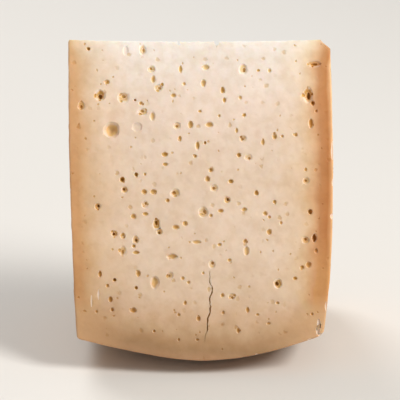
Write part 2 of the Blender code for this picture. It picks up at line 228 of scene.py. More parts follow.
class CheeseEyes(bpy.types.PropertyGroup):
    back_count: whole_number("Back eyes", "Number of eyes in the back cut", 125)
    smallest: metres("Smallest eye", "Width of the back cut's smallest eyes", 0.8 * MM)
    largest: metres("Largest eye", "Width of the back cut's largest eyes", 4.2 * MM)
    lumps: number("Lumps", "Share of its size by which an eye's wall is uneven", 0.22)
    crack_width: metres("Crack width", "Width of the crack in the front cut", 0.52 * MM)
    seed: whole_number("Seed", "Draws other eyes in the back cut", 7)


class CheeseColours(bpy.types.PropertyGroup):
    # The tip colour is partly a painted highlight and the low paste is partly painted shade. Deep
    # is painted shade in the deepest eyes. The pale rind is partly a painted highlight on the cloth
    # marks' tops.
    tip: colour_value("Tip", "The cut cheese along its tip", (0.94, 0.91, 0.885))
    paste: colour_value("Paste", "The cut cheese below the tip", (0.855, 0.72, 0.625))
    paste_low: colour_value("Low paste", "The cut cheese lower down", (0.78, 0.625, 0.50))
    deep: colour_value("Deep", "The inside of the deepest eyes", (0.30, 0.14, 0.05))
    rind: colour_value("Rind", "The rind between its marks", (0.55, 0.30, 0.145))
    rind_pale: colour_value("Pale rind", "The tops of the cloth's marks", (0.88, 0.68, 0.49))
    rind_brown: colour_value("Brown rind", "The worn patches", (0.48, 0.23, 0.085))
    rim: colour_value("Rim", "The smooth band along the wheel's edge", (0.64, 0.36, 0.14))


class CheeseStage(bpy.types.PropertyGroup):
    azimuth: degrees("Camera azimuth", "How far the camera stands right of the front", 2)
    elevation: degrees("Camera elevation", "How far the camera looks down", 20)
    roll: degrees("Camera roll", "How far the camera is turned about its line of sight", -0.65)
    distance: metres("Camera distance", "From the camera to the front cut", 0.9)
    key_power: number("Key power", "Watts of the light at the upper right", 6.5)
    fill_power: number("Fill power", "Watts of the wide light at the left", 0.65)
    back_power: number("Back power", "Watts of the wide light behind the wedge", 3.2)
    sky: number("Sky", "Strength of the even light from all sides", 0.36)


# The wheel's form, for single numbers and for arrays alike


def right_edge(shape, radius):
    """How far the right rind lies from the middle plane, at this distance from the axis."""
    share = radius / shape.wheel_radius
    swell = RIGHT_SWELL * np.sin(math.pi * share)
    return shape.half_thickness + swell - RIGHT_DROP * share**RIGHT_DROP_POWER


def left_edge(shape, radius):
    share = radius / shape.wheel_radius
    return -(shape.half_thickness - LEFT_DROP * share**LEFT_DROP_POWER)


def heel_radius(shape, across):
    """The wheel's radius at this distance from its middle plane."""
    share = np.abs(across) / RIND_REACH
    left = HEEL_BULGE_LEFT * share**HEEL_POWER_LEFT
    right = HEEL_BULGE_RIGHT * share**HEEL_POWER_RIGHT
    return shape.wheel_radius - np.where(np.asarray(across) < 0, left, right)


def corner_of(shape, edge):
    """The radius at which a rind meets the heel, found by closing in on it."""
    near, far = 0.5 * shape.wheel_radius, shape.wheel_radius
    for _ in range(HALVINGS):
        radius = (near + far) / 2
        if radius < heel_radius(shape, edge(shape, radius)):
            near = radius
        else:
            far = radius
    return near


def axis_height(shape):
    return shape.wheel_radius - shape.rest_sink


def on_wheel(shape, across, radius, turn=0.0):
    """A point of the wheel, its turn counted about the axis from straight down towards +Y."""
    height = axis_height(shape) - radius * math.cos(turn)
    return Vector((across - MIDDLE, radius * math.sin(turn), height))


def cut_frame(shape, side):
    """A cut's frame: X across, Y down from the axis, Z inwards. Side is -1 in front, 1 behind."""
    centre = on_wheel(shape, 0, 0)
    across = Vector((1, 0, 0))
    down = on_wheel(shape, 0, 1, side * shape.wedge_angle / 2) - centre
    inwards = across.cross(down) * -side
    axes = Matrix((across, down, inwards)).transposed().to_4x4()
    return Matrix.Translation(centre) @ axes


# Small helpers for modelling


def pick(*objects):
    """Selects these objects alone, the first of them active."""
    bpy.ops.object.select_all(action="DESELECT")
    for obj in objects:
        obj.select_set(True)
    bpy.context.view_layer.objects.active = objects[0]


def start_editing(obj):
    pick(obj)
    bpy.ops.object.mode_set(mode="EDIT")
    bpy.ops.mesh.select_all(action="SELECT")


def stop_editing():
    bpy.ops.object.mode_set(mode="OBJECT")


def select_nothing(obj, kind):
    """Selects nothing of a mesh, where vertices (VERT) or faces (FACE) are picked next."""
    start_editing(obj)
    bpy.ops.mesh.select_mode(type=kind)
    bpy.ops.mesh.select_all(action="DESELECT")
    stop_editing()


def thicken(sheet, offset):
    """Makes a block of a sheet by drawing its faces out by this offset."""
    start_editing(sheet)
    bpy.ops.mesh.extrude_region_move(TRANSFORM_OT_translate={"value": offset})
    bpy.ops.mesh.select_all(action="SELECT")
    bpy.ops.mesh.normals_make_consistent(inside=False)
    stop_editing()
    return sheet


def read_vectors(items, name):
    flat = np.empty(len(items) * 3, np.float32)
    items.foreach_get(name, flat)
    return flat.reshape(-1, 3).astype(float)


def points_of(mesh):
    return read_vectors(mesh.vertices, "co")


def set_points(mesh, points):
    mesh.vertices.foreach_set("co", np.ascontiguousarray(points, np.float32).ravel())
    mesh.update()


def store_values(mesh, name, values):
    """Keeps one number for each point, or one for all of them, for a material to read."""
    attribute = mesh.attributes.get(name) or mesh.attributes.new(name, "FLOAT", "POINT")
    values = np.broadcast_to(values, len(mesh.vertices))
    attribute.data.foreach_set("value", np.ascontiguousarray(values, np.float32))


def smoothstep(low, high, value):
    share = np.clip((value - low) / (high - low), 0, 1)
    return share * share * (3 - 2 * share)


def noise_at(points, size, offset=(0, 0, 0)):
    """Soft noise from -1 to 1 at every point, its waves about this size."""
    shift = Vector(offset)
    return np.array([noise.noise(Vector(p) / size + shift) for p in points])


def steps(start, end, count):
    return [start + (end - start) * i / count for i in range(count)]


# The wedge


def section_points(shape):
    """Half of the wheel's section, as (across, radius), round from the left end of the axis."""
    left = corner_of(shape, left_edge)
    right = corner_of(shape, right_edge)
    low = 1 * MM
    points = [(-shape.half_thickness, low)]
    points += [(right_edge(shape, r), r) for r in steps(low, right, SECTION_STEPS)]
    across = steps(right_edge(shape, right), left_edge(shape, left), SECTION_STEPS)
    points += [(x, heel_radius(shape, x)) for x in across]
    points += [(left_edge(shape, r), r) for r in steps(left, low, SECTION_STEPS)]
    return points


def round_corner(section, corner, width):
    """Rounds the corner of the flat section that lies nearest to a point."""
    select_nothing(section, "VERT")
    nearest = min(section.data.vertices, key=lambda vert: (vert.co - corner).length)
    nearest.select = True
    bpy.ops.object.mode_set(mode="EDIT")
    bpy.ops.mesh.bevel(offset=width, segments=6, profile=0.5, affect="VERTICES")
    stop_editing()


def turned_blank(shape):
    """The section turned a little wider than the wedge, then remeshed into even faces."""
    points = section_points(shape)
    wide = shape.wedge_angle + SPARE_ANGLE
    bpy.ops.mesh.primitive_circle_add(vertices=len(points), radius=0.1, fill_type="NGON")
    blank = bpy.context.object
    blank.name = blank.data.name = "goat_cheese_wedge"
    for vert, (x, r) in zip(blank.data.vertices, points):
        vert.co = on_wheel(shape, x, float(r), wide / 2)
    for edge, width in ((left_edge, LEFT_CORNER_ROUND), (right_edge, RIGHT_CORNER_ROUND)):
        radius = corner_of(shape, edge)
        corner = on_wheel(shape, float(edge(shape, radius)), radius, wide / 2)
        round_corner(blank, corner, width)
    start_editing(blank)
    centre = on_wheel(shape, 0, 0)
    bpy.ops.mesh.spin(steps=SPIN_STEPS, angle=wide, center=centre, axis=(1, 0, 0))
    bpy.ops.mesh.select_all(action="SELECT")
    bpy.ops.mesh.remove_doubles(threshold=1e-7)
    bpy.ops.mesh.normals_make_consistent(inside=False)
    stop_editing()
    bpy.ops.mesh.primitive_cylinder_add(
        vertices=BAR_SIDES,
        radius=AXIS_BAR,
        depth=2 * shape.half_thickness,
        location=centre,
        rotation=(0, math.pi / 2, 0),
    )
    pick(blank, bpy.context.object)
    bpy.ops.object.join()
    blank.data.remesh_voxel_size = shape.grain
    bpy.ops.object.voxel_remesh()
    return blank


def spokes(shape, points):
    """From the wheel's axis to each point, seen along the axis, and how long that is."""
    away = points[:, 1:] - np.array((0, axis_height(shape)))
    return away, np.maximum(np.hypot(*away.T), 1e-6)


def facing(shape, points, normals):
    """How much each point belongs to a flat rind and to the heel, from 0 to 1."""
    away, radius = spokes(shape, points)
    outwards = (normals[:, 1:] * away).sum(1) / radius
    side = smoothstep(*RIND_FACING, np.abs(normals[:, 0]))
    heel = smoothstep(*RIND_FACING, outwards) * (radius > 0.6 * shape.wheel_radius)
    return side, heel


def make_uneven(shape, points):
    """Moves points in wide waves, each in its own plane through the wheel's axis."""
    sideways = shape.unevenness * noise_at(points, shape.unevenness_size)
    outwards = shape.unevenness * noise_at(points, shape.unevenness_size, (9, 5, 2))
    calm = np.exp(-(points[:, :2] ** 2).sum(1) / (2 * CALM_REACH**2))
    away, radius = spokes(shape, points)
    share = radius / shape.wheel_radius * (1 - calm)
    moved = points.copy()
    moved[:, 0] *= 1 + sideways * share / shape.half_thickness
    grow = outwards * share / shape.wheel_radius
    moved[:, 1:] += away * grow[:, None]
    return moved


def cloth_sheet(shape, points, side):
    """Where each point lies on the sheet of cloth over its side of the wheel."""
    away, _ = spokes(shape, points)
    arc = np.arctan2(away[:, 0], -away[:, 1]) * shape.wheel_radius
    u = np.where(side > 0.5, points[:, 1], points[:, 0])
    v = np.where(side > 0.5, points[:, 2], arc)
    return np.stack((u, v), axis=1)


def crease_lines(shape, marks, sheet):
    """Creases of one sheet in two directions: start, direction, length, bend and strength."""
    draw = random.Random(marks.seed * 10 + sheet)
    lines = []
    for i in range(marks.creases):
        if sheet == HEEL_SHEET:
            start = draw.uniform(-38, 34) * MM, draw.uniform(-40, 38) * MM
        else:
            radius = shape.wheel_radius * draw.uniform(0.2, 0.85)
            start = on_wheel(shape, 0, radius, draw.uniform(-0.36, 0.3)).yz
        slope = math.radians(draw.gauss(38, 7) if i % 2 else draw.gauss(-27, 8))
        direction = math.cos(slope), math.sin(slope)
        length = draw.uniform(*CREASE_LENGTHS) * MM
        bend = draw.uniform(-1, 1) * 1.6 / (CREASE_LENGTHS[1] * MM)
        lines.append((start, direction, length, bend, draw.uniform(0.25, 1)))
    return lines


def crease_amount(shape, marks, points, normals, side):
    """How strongly a crease shows at each point of the rind, from 0 to 1."""
    place = cloth_sheet(shape, points, side)
    wander = noise_at(points, 14 * MM, (3, 1, 7)) * 0.9 * MM
    wander += noise_at(points, 5 * MM, (5, 1, 2)) * 0.3 * MM
    broken = smoothstep(-0.5, 0.15, noise_at(points, 4 * MM, (7, 7, 1)))
    sheets = np.where(side > 0.5, np.where(normals[:, 0] > 0, 1, 0), HEEL_SHEET)
    amount = np.zeros(len(points))
    for sheet in (0, 1, HEEL_SHEET):
        for start, direction, length, bend, strength in crease_lines(shape, marks, sheet):
            offset = place - np.array(start)
            along = offset @ np.array(direction)
            apart = offset @ np.array((-direction[1], direction[0])) + wander
            apart += bend * along * (length - along)
            inside = smoothstep(-2 * MM, 2 * MM, along)
            inside *= smoothstep(-2 * MM, 2 * MM, length - along)
            line = strength * inside * np.exp(-((apart / CREASE_WIDTH) ** 2))
            amount = np.where(sheets == sheet, np.maximum(amount, line), amount)
    return amount * broken


def cloth_place(shape, points, side):
    """Where each point lies in the cloth: across and along it, pulled out of true."""
    place = cloth_sheet(shape, points, side)
    for size, pull in ((30, 3.0), (9, 1.0), (4, 0.35)):
        for axis in (0, 1):
            shift = noise_at(points, size * MM, (1 + 5 * axis, 8 - 6 * axis, size))
            place[:, axis] += pull * MM * shift
    return place.T


def cloth_strength(shape, marks, points, side):
    """How strongly the cloth's marks show: in patches, and not along the wheel's edge."""
    _, radius = spokes(shape, points)
    across = np.abs(points[:, 0] + MIDDLE)
    rim_start = shape.wheel_radius - HEEL_BULGE_RIGHT - marks.rim_width
    on_side = 1 - smoothstep(rim_start - 2 * MM, rim_start + 3 * MM, radius)
    on_heel = 1 - smoothstep(RIND_REACH - 9 * MM, RIND_REACH - 4 * MM, across)
    patches = smoothstep(-0.45, 0.2, noise_at(points, 15 * MM, (4, 4, 1)))
    spots = smoothstep(-0.45, 0.3, noise_at(points, 4.2 * MM, (2, 9, 4)))
    return np.where(side > 0.5, on_side, on_heel) * (0.2 + 0.8 * patches) * (0.25 + 0.75 * spots)


def dents(shape, marks, points):
    """Small nicks along the wheel's edge: how deep each point lies in one, from 0 to 1."""
    draw = random.Random(marks.seed)
    amount = np.zeros(len(points))
    ragged = 1 + 0.7 * noise_at(points, 1.1 * MM, (8, 1, 1))
    for _ in range(DENTS):
        turn = draw.uniform(-0.34, 0.34)
        radius = draw.uniform(0.86, 0.94) * shape.wheel_radius
        edge = (right_edge if draw.random() < 0.5 else left_edge)(shape, radius)
        centre = np.array(on_wheel(shape, float(edge), radius, turn))
        size = draw.uniform(0.4, 1.3) * MM
        away = (points - centre) * (1, draw.uniform(0.5, 1.6), draw.uniform(0.6, 1.6))
        apart = np.linalg.norm(away, axis=1) * ragged
        amount = np.maximum(amount, np.exp(-((apart / size) ** 2)))
    return amount


def rind_looks(shape, marks, points, normals):
    """How flat each point's rind is, where its cloth lay, and how strongly its marks show."""
    side, heel = facing(shape, points, normals)
    on_rind = np.maximum(side, heel)
    u, v = cloth_place(shape, points, side)
    return side, {
        "cloth_u": u / marks.mesh_spacing,
        "cloth_v": v / marks.row_spacing,
        "cloth_strength": cloth_strength(shape, marks, points, side) * on_rind,
        "crease": crease_amount(shape, marks, points, normals, side) * on_rind,
        "dent": dents(shape, marks, points),
    }


def press_cloth(shape, marks, mesh):
    """Presses the cloth's marks, its creases and the dents into the rind."""
    points, normals = points_of(mesh), read_vectors(mesh.vertices, "normal")
    side, looks = rind_looks(shape, marks, points, normals)
    waves = np.cos(math.tau * looks["cloth_u"]) * side
    height = marks.mark_height / 2 * looks["cloth_strength"] * waves
    height += marks.crease_height * looks["crease"]
    height -= DENT_DEPTH * looks["dent"]
    height += 0.12 * MM * noise_at(points, 7 * MM, (3, 3, 8))
    height += 0.05 * MM * noise_at(points, 2.4 * MM)
    set_points(mesh, points + normals * height[:, None])


def refine_flat_rinds(blank):
    """Splits the faces of the two flat rinds, which carry the finest marks."""
    select_nothing(blank, "FACE")
    flat = np.abs(read_vectors(blank.data.polygons, "normal")[:, 0]) > 0.9
    blank.data.polygons.foreach_set("select", flat)
    bpy.ops.object.mode_set(mode="EDIT")
    bpy.ops.mesh.subdivide(number_cuts=1)
    bpy.ops.mesh.select_mode(type="VERT")
    stop_editing()


def press_foot(mesh):
    """Presses the heel flat where the wedge stands."""
    points = points_of(mesh)
    points[:, 2] = points[:, 2].clip(0)
    set_points(mesh, points)


# The knife cuts, the eyes, the crack and the worn tip


def knife_cut(shape, side):
    """A block over one cut. Its inner face has the cut's soft waves, and rounds its edges off."""
    columns, rows, offsets = BLOCK_COLUMNS, BLOCK_ROWS, EDGE_OFFSETS
    bpy.ops.mesh.primitive_grid_add(x_subdivisions=columns, y_subdivisions=rows, size=1)
    block = bpy.context.object
    points = points_of(block.data)
    column = np.rint((points[:, 0] + 0.5) * columns).astype(int)
    row = np.rint((points[:, 1] + 0.5) * rows).astype(int)
    edges = len(offsets) - 1
    down = (points[:, 1] + 0.5) * BLOCK_HEIGHT
    for _ in range(SETTLING_ROUNDS):
        reach = np.maximum(down, 0)
        left, right = left_edge(shape, reach), right_edge(shape, reach)
        share = (column - edges) / (columns - 2 * edges)
        across = left + offsets[-1] + (right - left - 2 * offsets[-1]) * share
        near_left, near_right = column < edges, column > columns - edges
        across[near_left] = (left + offsets[column.clip(0, edges)])[near_left]
        across[near_right] = (right - offsets[(columns - column).clip(0, edges)])[near_right]
        heel = heel_radius(shape, across)
        share = row / (rows - edges)
        down = BLOCK_TOP + (heel - offsets[-1] - BLOCK_TOP) * share
        near_heel = row > rows - edges
        down[near_heel] = (heel - offsets[(rows - row).clip(0, edges)])[near_heel]
    apart = np.minimum(np.minimum(across - left, right - across), heel - down)
    to_world = np.array(cut_frame(shape, side))
    flat = np.stack((across, down, np.zeros(len(across))), axis=1)
    world = flat @ to_world[:3, :3].T + to_world[:3, 3]
    world = make_uneven(shape, world)
    round_off = (0.55 + 0.3 * noise_at(world, 4 * MM, (2, 7, 1))) * MM
    lack = (round_off - apart).clip(0)
    depth = np.where(lack < 2 * round_off, lack**2 / (2 * round_off), 2 * lack - 2 * round_off)
    away_from_tip = smoothstep(0, 9 * MM, down)
    depth += away_from_tip * 0.14 * MM * noise_at(world, 11 * MM, (side, 3, 8))
    depth += away_from_tip * 0.05 * MM * noise_at(world, 4 * MM, (side, 6, 2))
    inwards = to_world[:3, 2]
    set_points(block.data, world + depth[:, None] * inwards)
    return thicken(block, tuple(-inwards * BLOCK_THICKNESS))


def lumpy_balls(lumps):
    """A few uneven balls, coarse and fine ones, that the eyes are copied from."""
    balls = {}
    for fine in (COARSE_BALL, FINE_BALL):
        for kind in range(BALL_KINDS):
            bpy.ops.mesh.primitive_ico_sphere_add(subdivisions=fine, radius=1)
            ball = bpy.context.object
            points = points_of(ball.data)
            bumps = noise_at(points, 0.8, (kind * 3.1, fine, 4)) * lumps
            bumps += noise_at(points, 0.35, (kind, 5, fine)) * lumps * 0.4
            set_points(ball.data, points * (1 + bumps)[:, None])
            balls[fine, kind] = ball
    return balls


def eye_ball(axes, eye, balls, draw, lip, tone, light=0):
    """A copy of one of the balls, laid into a cut with the eye's size and widened to a soft lip."""
    across, down, width, height, depth = (size * MM for size in eye)
    sink = depth * draw.uniform(0.1, 0.3)
    fine = FINE_BALL if max(width, height) > FINE_EYE else COARSE_BALL
    ball = balls[fine, draw.randrange(BALL_KINDS)]
    copy = ball.copy()
    copy.data = ball.data.copy()
    bpy.context.collection.objects.link(copy)
    copy.data.transform(Matrix.Rotation(draw.uniform(0, math.tau), 4, "Z"))
    points = points_of(copy.data) * (width / 2, height / 2, depth - sink)
    points[:, 2] += sink
    # eye_tone tints the deeper walls: partly their own colour, partly painted shade
    store_values(copy.data, "eye_tone", tone * smoothstep(0.2, 0.85, points[:, 2] / depth))
    # A painted highlight on the eye's rim, as strong as light, mixes it towards the pale tip colour
    store_values(copy.data, "eye_lip_highlight", light * smoothstep(1.1 * lip, 0.2 * lip, points[:, 2]))
    reach = np.hypot(*points[:, :2].T)
    widen = lip * smoothstep(0.8 * lip, -0.2 * lip, points[:, 2])
    points[:, :2] *= (1 + widen / np.maximum(reach, 0.1 * MM))[:, None]
    points[:, :2] += (across, down)
    set_points(copy.data, points)
    copy.data.transform(axes)
    if axes.determinant() < 0:
        copy.data.flip_normals()
    return copy


def eye_tone(eye):
    """How dark an eye is painted inside, from 0 to 1: a deep one is darker than a shallow one. The
    tint is partly the drier walls' own colour and partly painted shade.
    """
    _, _, width, height, depth = eye
    return float(smoothstep(0.22, 0.9, depth / min(width, height) ** 0.9))


def eye_holes(axes, eye, balls, draw):
    """An eye's bowl, and off the middle of a larger deep eye a second, deeper hole."""
    across, down, width, height, depth = eye
    size = min(width, height)
    tone = eye_tone(eye) * draw.uniform(0.7, 1.0)
    lip = (0.22 + 0.16 * size) * MM
    if size < LARGE_EYE or depth < 0.5 * size:
        return [eye_ball(axes, eye, balls, draw, lip, tone, light=tone)]
    turn, away = draw.uniform(0, math.tau), draw.uniform(0.1, 0.22)
    inner = (
        across + away * width * math.cos(turn),
        down + away * height * math.sin(turn),
        0.62 * width,
        0.62 * height,
        depth,
    )
    bowl = (across, down, width, height, 0.5 * depth)
    return [
        eye_ball(axes, bowl, balls, draw, lip, 0.6 * tone, light=tone),
        eye_ball(axes, inner, balls, draw, 0.5 * lip, 0.9 * tone),
    ]


def clear_of(eye, others, gap):
    return all(
        math.hypot(eye[0] - other[0], eye[1] - other[1])
        > (max(eye[2:4]) + max(other[2:4])) / 2 + gap
        for other in others
    )


def side_holes(axes, cut_eyes, balls, draw):
    """Small holes that open beside the larger eyes, and give them an uneven outline."""
    placed, made = [], []
    for eye in cut_eyes:
        across, down, width, height, depth = eye
        size = min(width, height)
        if size < 1.1 or depth < 0.35 * size or draw.random() < 0.2:
            continue
        turn = draw.uniform(0, math.tau)
        for _ in range(1 if size < LARGE_EYE else draw.choice((1, 2, 2, 3))):
            turn += draw.uniform(0.8, 3.4)
            reach = draw.uniform(0.55, 1.05) / 2
            small = draw.uniform(0.45, 0.95) * size**0.75
            hole = (
                across + width * reach * math.cos(turn),
                down + height * reach * math.sin(turn),
                small * draw.uniform(0.7, 1.2),
                small * draw.uniform(0.7, 1.2),
                small * draw.uniform(0.4, 0.7),
            )
            if clear_of(hole, placed, 0.1):
                placed.append(hole)
                tone = 0.85 * eye_tone(eye) * draw.uniform(0.5, 1)
                made.append(eye_ball(axes, hole, balls, draw, SIDE_LIP, tone))
    return made


def back_eyes(shape, eyes):
    """Eyes for the back cut in the sizes of the front ones, thicker sown in the middle."""
    draw = random.Random(eyes.seed)
    half = shape.half_thickness / MM - SIDE_MARGIN
    lowest = shape.wheel_radius / MM - HEEL_MARGIN
    low, high = eyes.smallest / MM, eyes.largest / MM
    made = []
    while len(made) < eyes.back_count:
        across, down = draw.uniform(-half, half), draw.uniform(4, lowest)
        here = noise.noise(Vector((across, down, 50)) / 16)
        if draw.random() > 0.6 + here:
            continue
        width = low + (high - low) * draw.random() ** 3.2
        height = width * draw.uniform(0.75, 1.6)
        depth = draw.uniform(0.4, 0.95) * min(width, height) ** 0.9
        eye = (across, down, width, height, depth)
        if clear_of(eye, made, 0.3):
            made.append(eye)
    return made


def crack_blade(shape, eyes):
    """A thin jagged blade pressed into the front cut, narrow at both ends."""
    draw = random.Random(eyes.seed + 1)
    above = 0.4 * MM
    bpy.ops.mesh.primitive_grid_add(x_subdivisions=1, y_subdivisions=CRACK_STEPS, size=1)
    blade = bpy.context.object
    acrosses, downs = zip(*CRACK_PATH)
    wander = {}
    for vert in blade.data.vertices:
        share = vert.co.y + 0.5
        row = round(share * CRACK_STEPS)
        if row not in wander:
            wander[row] = draw.uniform(-0.15, 0.15), draw.uniform(0.45, 1.15)
        shift, wide = wander[row]
        down = downs[0] + (downs[-1] - downs[0]) * share
        middle = float(np.interp(down, downs, acrosses)) + shift
        taper = min(1, 0.25 + 2.6 * share, 0.15 + 3.2 * (1 - share))
        half = eyes.crack_width / 2 * wide * taper
        side = 1 if vert.co.x > 0 else -1
        vert.co = (middle * MM + side * half, down * MM, -above)
    thicken(blade, (0, 0, above + CRACK_DEPTH))
    # The crack's walls are tinted dark, partly painted shade
    store_values(blade.data, "eye_tone", CRACK_TONE)
    blade.data.transform(cut_frame(shape, -1))
    return blade


def worn_tip(shape):
    """A long block over the tip line, whose underside is the worn and chipped edge."""
    length = 2 * shape.half_thickness + 4 * MM
    bpy.ops.mesh.primitive_grid_add(
        x_subdivisions=TIP_COLUMNS, y_subdivisions=TIP_ROWS, size=1
    )
    block = bpy.context.object
    points = points_of(block.data)
    across = points[:, 0] * length
    points[:, 0] = across - MIDDLE
    points[:, 1] *= TIP_WIDTH
    wear = 0.12 * MM + shape.tip_wear * (1 - (across / shape.half_thickness) ** 2).clip(0)
    wear += 0.16 * MM * noise_at(points, 3.1 * MM) + 0.1 * MM * noise_at(points, 1.1 * MM)
    chip = across - (shape.half_thickness - shape.tip_chip)
    wear += chip.clip(0) * 0.95 + 0.4 * MM * smoothstep(0, 0.6 * MM, chip)
    points[:, 2] = axis_height(shape) - wear.clip(0.05 * MM)
    set_points(block.data, points)
    return thicken(block, (0, 0, TIP_THICKNESS))


def take_away(body, cutters, name):
    """Cuts the joined cutters out of the body."""
    before = len(body.data.polygons)
    pick(*cutters)
    if len(cutters) > 1:
        bpy.ops.object.join()
    cutter = bpy.context.object
    cutter.name = name
    cutter.data.materials.clear()
    cutter.data.materials.append(body.data.materials[PASTE])
    pick(body)
    cut = body.modifiers.new(name, "BOOLEAN")
    cut.operation = "DIFFERENCE"
    cut.solver = "MANIFOLD"
    cut.object = cutter
    bpy.ops.object.modifier_apply(modifier=name)
    bpy.data.objects.remove(cutter)
    if len(body.data.polygons) == before:
        raise RuntimeError(f"{name} took nothing away")


def store_rind_looks(shape, marks, mesh):
    """Keeps the rind's looks for its material."""
    points, normals = points_of(mesh), read_vectors(mesh.vertices, "normal")
    _, looks = rind_looks(shape, marks, points, normals)
    for name, values in looks.items():
        store_values(mesh, name, values)


# Small helpers for materials


def set_inputs(node, inputs):
    """Links or sets a node's inputs. A colour needs no alpha."""
    for key, value in inputs.items():
        socket = node.inputs[key]
        if isinstance(value, bpy.types.NodeSocket):
            node.id_data.links.new(value, socket)
        elif socket.type == "RGBA":
            socket.default_value = (*value[:3], 1)
        else:
            socket.default_value = value


def add_node(kind, inputs, **settings):
    """Adds a node to the tree that its linked inputs lie in, and gives its outputs."""
    linked = [value for value in inputs.values() if isinstance(value, bpy.types.NodeSocket)]
    node = linked[0].id_data.nodes.new(kind)
    for name, value in settings.items():
        setattr(node, name, value)
    set_inputs(node, inputs)
    return node.outputs


def calculate(operation, *values):
    return add_node("ShaderNodeMath", dict(enumerate(values)), operation=operation)[0]


def plus(first, second):
    return calculate("ADD", first, second)


def minus(first, second):
    return calculate("SUBTRACT", first, second)


def times(first, second):
    return calculate("MULTIPLY", first, second)


def vector_math(operation, inputs):
    return add_node("ShaderNodeVectorMath", inputs, operation=operation)


def fade(value, low, high):
    """0 at low and 1 at high, smooth between them."""
    inputs = {"Value": value, "From Min": low, "From Max": high}
    return add_node("ShaderNodeMapRange", inputs, interpolation_type="SMOOTHSTEP")["Result"]


def stretch(value, low, high, to_low, to_high):
    """A value taken evenly from one range to another, and kept inside it."""
    inputs = {"Value": value, "From Min": low, "From Max": high}
    inputs |= {"To Min": to_low, "To Max": to_high}
    return add_node("ShaderNodeMapRange", inputs)["Result"]


def mix_colour(factor, first, second, blend="MIX"):
    inputs = {0: factor, 6: first, 7: second}
    return add_node("ShaderNodeMix", inputs, data_type="RGBA", blend_type=blend)[2]


def colour_ramp(value, stops):
    """A ramp through (place, colour) stops."""
    node = value.id_data.nodes.new("ShaderNodeValToRGB")
    set_inputs(node, {"Fac": value})
    elements = node.color_ramp.elements
    while len(elements) < len(stops):
        elements.new(0.5)
    for element, (place, colour) in zip(elements, stops):
        element.position = place
        element.color = (*colour[:3], 1)
    return node.outputs["Color"]


def tinted(colour, value, stops):
    """A colour times the colour of a ramp."""
    return mix_colour(1.0, colour, colour_ramp(value, stops), "MULTIPLY")


def soft_noise(vector, size, detail=2.0, roughness=0.5):
    inputs = {"Vector": vector, "Scale": 1 / size, "Detail": detail, "Roughness": roughness}
    return add_node("ShaderNodeTexNoise", inputs)["Fac"]


def cells(vector, size, feature="F1"):
    """Voronoi cells of about this size."""
    inputs = {"Vector": vector, "Scale": 1 / size, "Randomness": 1.0}
    return add_node("ShaderNodeTexVoronoi", inputs, feature=feature)


def pull_about(vector, size, pull):
    """Coordinates pulled out of true, so that what is round in them turns uneven."""
    inputs = {"Vector": vector, "Scale": 1 / size, "Detail": 1.0}
    wobble = add_node("ShaderNodeTexNoise", inputs)["Color"]
    return vector_math("MULTIPLY_ADD", {0: wobble, 1: (pull, pull, pull), 2: vector})[0]


def stored(tree, name):
    """A number that the mesh keeps for each point."""
    node = tree.nodes.new("ShaderNodeAttribute")
    node.attribute_name = name
    return node.outputs["Fac"]


def new_material(name):
    material = bpy.data.materials.new(name)
    material.use_nodes = True
    tree = material.node_tree
    coordinates = tree.nodes.new("ShaderNodeTexCoord").outputs["Object"]
    return material, tree, tree.nodes["Principled BSDF"], coordinates


def wheel_depth_group(shape):
    """How far a place is from the axis, and how deep under the rinds and cuts, in millimetres."""
    tree = bpy.data.node_groups.new("wheel_depth", "ShaderNodeTree")
    tree.interface.new_socket("Vector", in_out="INPUT", socket_type="NodeSocketVector")
    place = tree.nodes.new("NodeGroupInput").outputs["Vector"]
    place = vector_math("SUBTRACT", {0: place, 1: on_wheel(shape, 0, 0)})[0]
    place = vector_math("SCALE", {0: place, "Scale": 1 / MM})[0]
    parts = add_node("ShaderNodeSeparateXYZ", {0: place})
    across = parts["X"]
    squares = [times(parts[axis], parts[axis]) for axis in "YZ"]
    radius = calculate("SQRT", plus(*squares))
    share = calculate("DIVIDE", radius, shape.wheel_radius / MM)
    half = shape.half_thickness / MM
    swell = times(calculate("SINE", times(share, math.pi)), RIGHT_SWELL / MM)
    right_drop = times(calculate("POWER", share, RIGHT_DROP_POWER), RIGHT_DROP / MM)
    left_drop = times(calculate("POWER", share, LEFT_DROP_POWER), LEFT_DROP / MM)
    aside = calculate("DIVIDE", calculate("ABSOLUTE", across), RIND_REACH / MM)
    heel_bulge = (HEEL_BULGE_LEFT + HEEL_BULGE_RIGHT) / 2 / MM
    heel_power = (HEEL_POWER_LEFT + HEEL_POWER_RIGHT) / 2
    bulge = times(calculate("POWER", aside, heel_power), heel_bulge)
    normals = [cut_frame(shape, side).col[2].xyz for side in (-1, 1)]
    cuts = [vector_math("DOT_PRODUCT", {0: place, 1: normal})["Value"] for normal in normals]
    results = {
        "Radius": radius,
        "Across": across,
        "Left Depth": minus(plus(across, half), left_drop),
        "Right Depth": minus(plus(swell, half), plus(right_drop, across)),
        "Heel Depth": minus(minus(shape.wheel_radius / MM, bulge), radius),
        "Cut Depth": calculate("MINIMUM", *cuts),
    }
    for name in results:
        tree.interface.new_socket(name, in_out="OUTPUT", socket_type="NodeSocketFloat")
    add_node("NodeGroupOutput", results)
    return tree
